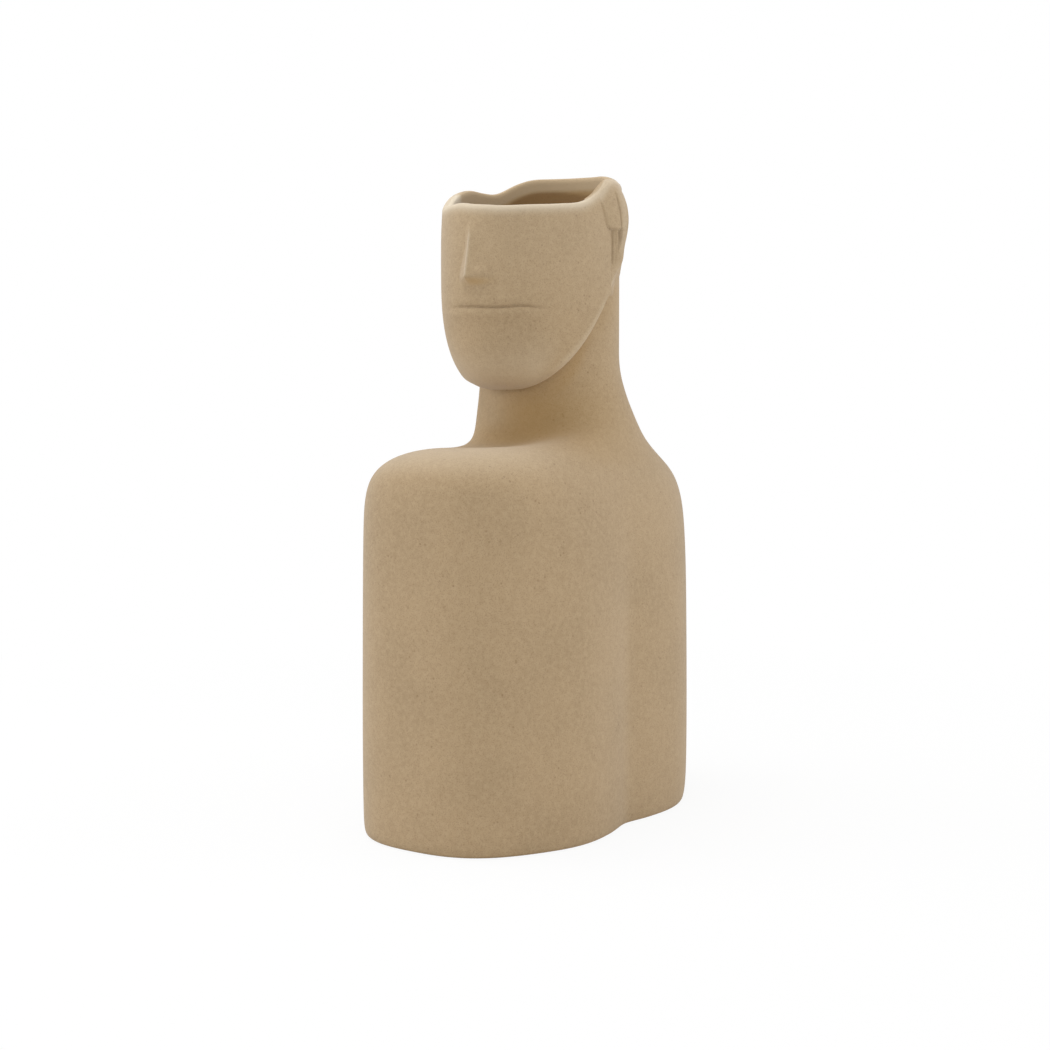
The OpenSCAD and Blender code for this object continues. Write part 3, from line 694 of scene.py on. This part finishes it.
def make_piece(name, points, soft, flat, directions, inside, pale):
    """Mesh object from points in millimetres, centred from front to back. Its soft faces are shaded
    along the given directions, its flat faces along their own."""
    quads = np.concatenate([soft] + flat)
    mesh = bpy.data.meshes.new(name)
    centred = (points - [0, MIDDLE_Y, 0]) * METRE
    mesh.from_pydata(centred.tolist(), [], quads.tolist())
    mesh.polygons.foreach_set("use_smooth", np.arange(len(quads)) < len(soft))
    # Painted brown shade outside and all over the inner side; painted light; painted shade inside
    warm_shade = painted_warm_shade(points) * (inside == 0) + INSIDE_WARM_SHADE * (inside > 0)
    for word, values in (("inside", inside), ("pale", pale), ("warm_shade", warm_shade)):
        mesh.attributes.new(word, "FLOAT", "POINT").data.foreach_set("value", values.astype(np.float32))
    corner = np.zeros((len(quads) * 4, 3))
    corner[:len(soft) * 4] = directions[soft.reshape(-1)]
    mesh.normals_split_custom_set(corner.tolist())
    piece = bpy.data.objects.new(name, mesh)
    bpy.context.scene.collection.objects.link(piece)
    mesh.materials.append(clay)
    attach(piece, "root")
    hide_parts(name)


def shell_piece(name, outer, inner, inner_painted_shade, pale, wrap=False):
    """Closed solid between an outer and an inner grid, each given as its points and its directions. The
    outer side has the given painted light, the inner side the given painted shade of the inside."""
    rows, columns = outer[0].shape[:2]
    half = rows * columns
    points = np.concatenate([outer[0].reshape(-1, 3), inner[0].reshape(-1, 3)])
    directions = np.concatenate([outer[1].reshape(-1, 3), -inner[1].reshape(-1, 3)])
    soft = np.concatenate([quads_of(rows, columns, 0, wrap), quads_of(rows, columns, half, wrap)[:, ::-1]])
    across = np.arange(columns + 1) % columns if wrap else np.arange(columns)
    flat = [bridge(across, across + half), bridge(across + half, across) + (rows - 1) * columns]
    if not wrap:
        up = np.arange(rows) * columns
        flat += [bridge(up + half, up), bridge(up, up + half) + columns - 1]
    make_piece(name, points, soft, flat, directions, np.repeat([0.0, inner_painted_shade], half),
               np.concatenate([pale.reshape(-1), np.zeros(half)]))


def profile_piece(name, points, directions, inside, pale):
    """Closed solid whose rows run up one side, over the rim and down the other side."""
    rows, columns = points.shape[:2]
    soft = quads_of(rows, columns, 0, False)
    across = np.arange(columns)
    up = np.arange(rows // 2) * columns
    down = (rows - 1 - np.arange(rows // 2)) * columns
    flat = [bridge(across, across + (rows - 1) * columns), bridge(down, up),
            bridge(up, down) + columns - 1]
    make_piece(name, points.reshape(-1, 3), soft, flat, directions.reshape(-1, 3), inside.reshape(-1),
               pale.reshape(-1))


def columns_between(first, last):
    """Angles from one quarter turn to another, both ends included."""
    return np.arange(first * COLUMNS // 4, last * COLUMNS // 4 + 1) * STEP


def build_torso():
    """Two shells that meet in the plane through both shoulders, up to the root of the flare."""
    u = np.linspace(0, SEAM_RING, TORSO_ROWS * SEAM_RING + 1)
    for name, first, last in (("torso_front", 2, 4), ("torso_back", 0, 2)):
        a = columns_between(first, last)
        outer, facing = body_skin(u, a), normals(body_skin, u, a)
        inner = body_inner(u, a), normals(body_inner, u, a)
        # Painted shade all over the inner side, painted light where the outer side faces up
        shell_piece(name, (outer, facing), inner, 1.0, top_painted_light(outer, facing))


def build_floor_slab():
    """Flat slab inside the shells' foot: its outline twice, one slab's thickness apart, closed round
    its edge and filled with strips between its back and its front."""
    line = body_inner(np.array([0.0]), columns_between(0, 4)[:-1])[0]
    points = np.concatenate([line, line + [0, 0, BASE_T]])
    back = np.arange(COLUMNS // 2)
    front, around = COLUMNS - 1 - back, np.arange(COLUMNS + 1) % COLUMNS
    flat = [bridge(front, back)[:, ::-1], bridge(front, back) + COLUMNS,
            bridge(around, around + COLUMNS)[:, ::-1]]
    # The slab has the painted shade of the inside all over, and no painted light
    make_piece("base_plate", points, np.zeros((0, 4), int), flat, np.zeros_like(points),
               np.ones(len(points)), np.zeros(len(points)))


def build_neck():
    """Upper part of the flare, then the column up to the crease under the jaw."""
    a = columns_between(0, 4)[:-1]
    flare = np.linspace(SEAM_RING, SPANS, FLARE_ROWS * (SPANS - SEAM_RING) + 1)
    plain = np.linspace(0, 1, PLAIN_ROWS)
    sides = []
    for lower, inset in ((body_skin, 0.0), (body_inner, NECK_WALL)):
        upper = neck_skin(lower, inset)
        points = np.concatenate([lower(flare, a), upper(plain, a)[1:]])
        directions = np.concatenate([normals(lower, flare, a), normals(upper, plain, a)[1:]])
        sides.append((points, directions))
    # Painted shade all over the inner side, painted light on the outer side
    shell_piece("neck", *sides, 1.0, neck_painted_light(*sides[0]), wrap=True)


def head_levels():
    """Places of the head's rows, closer together over the mouth, the same on both sides of the wall."""
    by_mouth = level_at(MOUTH_Z) + np.linspace(-0.5, 0.5, MOUTH_ROWS)
    side = np.unique(np.round(np.concatenate([np.arange(0, SIDE_ROWS + 0.5, HEAD_ROWS), by_mouth]), 4))
    return np.concatenate([side, HEAD_SPANS - side[::-1]])


def build_head():
    """Mask and back of the head, meeting in the plane through both ears. The inner side has painted light
    down to the painted shadow line under the rim and painted shade below, except at the right corner of
    the face, which has painted light and no painted shade at all."""
    u = head_levels()
    inner = (u > HEAD_SPANS / 2)[:, None]
    for name, first, last in (("face_mask", 1, 3), ("head_back", 3, 5)):
        a = columns_between(first, last)
        points = head_skin(u, a)
        depth, above_jaw = rim_height(a)[None] - points[..., 2], points[..., 2] - jaw_height(a)[None]
        turn = np.degrees(a)[None]
        # At the right corner of the face near the rim: painted light and no painted shade
        corner = smooth((turn - LIT_CORNER_FROM) / 10) * smooth((LIT_CORNER_TO - turn) / 15)
        corner = corner * smooth((LIT_CORNER_DEPTH - depth) / 3) * inner
        # Painted shade on the inner side, none at the right corner of the face
        inside = np.where(inner, painted_inside_shade(points, a), 0.0) * (1 - corner)
        # Painted highlight on the rim and along the jaw outside, painted light on the upper head and on
        # the inner band under the rim
        pale = mix(rim_painted_highlight(points, depth), 0.38 * smooth((PAINTED_LIGHT_DEPTH - depth) / 3), inner)
        pale = np.maximum(np.maximum(pale, corner), ~inner * jaw_painted_highlight(above_jaw, a))
        pale = pale + ~inner * face_painted_light(points)
        profile_piece(name, points, normals(head_skin, u, a), inside, pale)


def build_applied(name, relief, direction, levels, angles, thickness, light_paint):
    """A small piece laid on the head's skin, rising from it by its relief, with painted light and painted
    highlights on its outer side, along its edges or its ridge.
    """
    skin = applied_skin(relief, np.array(direction))
    outer = skin(levels, angles)
    under = head_skin(levels, angles) - thickness * np.array(direction)
    shell_piece(name, (outer, normals(skin, levels, angles)), (under, normals(head_skin, levels, angles)),
                0.0, light_paint(outer))


def build_nose_and_ears():
    """Nose in the middle of the mask, and an ear with its folded tab on each side."""
    levels = np.arange(level_at(NOSE_Z - 9), level_at(LIP_Z - 4), NOSE_ROWS)
    build_applied("nose", nose_relief, (-1, 0, 0), levels, np.radians(np.arange(*NOSE_ANGLES)),
                  NOSE_DEPTH, ridge_painted_highlight)
    for side, word in ((1, "right"), (-1, "left")):
        out = (np.sin(EAR_LEAN), side * np.cos(EAR_LEAN), 0)
        for name, relief, covers, lowest in (("ear_", ear_relief, EAR_ANGLES, EAR_LOWEST),
                                             ("ear_fold_", fold_relief, FOLD_ANGLES, FOLD_LOWEST)):
            angles, levels = np.arange(*covers), np.arange(lowest, SIDE_ROWS - 0.5, EAR_ROWS)
            around = np.radians(angles if side > 0 else 360 - angles[::-1])
            build_applied(name + word, relief, out, levels, around, EAR_DEPTH, edge_painted_highlight)


build_torso()
build_floor_slab()
build_neck()
build_head()
build_nose_and_ears()


# Floor, light and camera
# The view is turned this far from the chest towards the right shoulder, in degrees
VIEW_TURN = 56
TO_CAMERA = math.radians(270 - VIEW_TURN)
# Camera: film width and focal length in millimetres, the latter also in the photograph's pixels, how
# far it looks down and aside in the same pixels, and its distance and height in metres
FILM, LENS, FOCAL, LOOKS_DOWN, ASIDE = 36.0, 53.14, 1550, 88, 9.8
CAMERA_AWAY, CAMERA_H = 0.775, 0.188
AIM = Vector((0, 0, 0.17))
FLOOR_REACH = 6.0


def white_where(wire, factor, plain, kind, surface):
    """Shows pure white where the factor is 1, and the plain shader where it is 0."""
    white = wire.node(kind, Color=WHITE, Strength=1.0)
    both = wire.node("ShaderNodeMixShader", inputs={0: factor, 1: Wire(wire.tree, plain), 2: white})
    both.to(surface)


def make_floor():
    """Wide pale floor with the vase's soft shadow on it, plain white to the camera further away."""
    mesh = bpy.data.meshes.new("floor")
    corners = [(x * FLOOR_REACH, y * FLOOR_REACH, 0) for x, y in ((-1, -1), (1, -1), (1, 1), (-1, 1))]
    mesh.from_pydata(corners, [], [(0, 1, 2, 3)])
    floor = bpy.data.objects.new("floor", mesh)
    bpy.context.scene.collection.objects.link(floor)
    made, shader, wire = new_material("pale_floor")
    shader.inputs["Base Color"].default_value = (0.86, 0.86, 0.86, 1)
    shader.inputs["Roughness"].default_value = 0.95
    shader.inputs["Specular IOR Level"].default_value = 0.1
    seen = wire.node("ShaderNodeLightPath", "Is Camera Ray")
    place = wire.node("ShaderNodeTexCoord", "Object")
    away = wire.node("ShaderNodeVectorMath", "Value", operation="LENGTH", Vector=place).ramp(0.25, 0.7)
    white_where(wire, seen * (0.9 + away * 0.1), shader.outputs[0], "ShaderNodeEmission",
                wire.tree.nodes["Material Output"].inputs["Surface"])
    mesh.materials.append(made)


def make_world():
    """White to the camera, and a soft even light on everything else."""
    world = bpy.data.worlds.new("studio")
    world.use_nodes = True
    bpy.context.scene.world = world
    wire = Wire(world.node_tree)
    soft = wire.tree.nodes["Background"]
    soft.inputs["Color"].default_value = WHITE
    soft.inputs["Strength"].default_value = 0.58
    white_where(wire, wire.node("ShaderNodeLightPath", "Is Camera Ray"), soft.outputs[0],
                "ShaderNodeBackground", wire.tree.nodes["World Output"].inputs["Surface"])


def lamp(name, turn, height, distance, size, power):
    """Square soft light at an angle from the camera's direction, aimed at the middle of the vase."""
    data = bpy.data.lights.new(name, "AREA")
    data.shape, data.size, data.energy = "SQUARE", size, power
    made = bpy.data.objects.new(name, data)
    angle = TO_CAMERA + math.radians(turn)
    made.location = Vector((distance * math.cos(angle), distance * math.sin(angle), height))
    made.rotation_mode = "QUATERNION"
    made.rotation_quaternion = (AIM - made.location).to_track_quat("-Z", "Y")
    bpy.context.scene.collection.objects.link(made)


def make_camera():
    """A camera level with the shoulders, turned from the chest towards the right shoulder."""
    data = bpy.data.cameras.new("camera")
    data.sensor_width, data.lens = FILM, LENS
    made = bpy.data.objects.new("camera", data)
    turn, pitch = math.radians(VIEW_TURN), math.atan(LOOKS_DOWN / FOCAL)
    away = Vector((-math.sin(turn), -math.cos(turn), 0))
    right = Vector((math.cos(turn), -math.sin(turn), 0))
    look = -away * math.cos(pitch) - Vector((0, 0, math.sin(pitch)))
    made.location = CAMERA_AWAY * away + Vector((0, 0, CAMERA_H)) - right * (ASIDE / FOCAL * CAMERA_AWAY)
    up = right.cross(look)
    made.rotation_mode = "QUATERNION"
    made.rotation_quaternion = Matrix((right, up, -look)).transposed().to_quaternion()
    bpy.context.scene.collection.objects.link(made)
    bpy.context.scene.camera = made


make_floor()
make_world()
lamp("left_light", turn=-95, height=0.5, distance=1.2, size=0.9, power=4.5)
lamp("right_light", turn=95, height=0.5, distance=1.2, size=0.9, power=4.9)
lamp("top_light", turn=-70, height=1.4, distance=0.3, size=1.0, power=10.0)
lamp("front_light", turn=10, height=0.02, distance=1.4, size=1.2, power=5.2)
make_camera()
bpy.context.scene.view_settings.view_transform = "Standard"
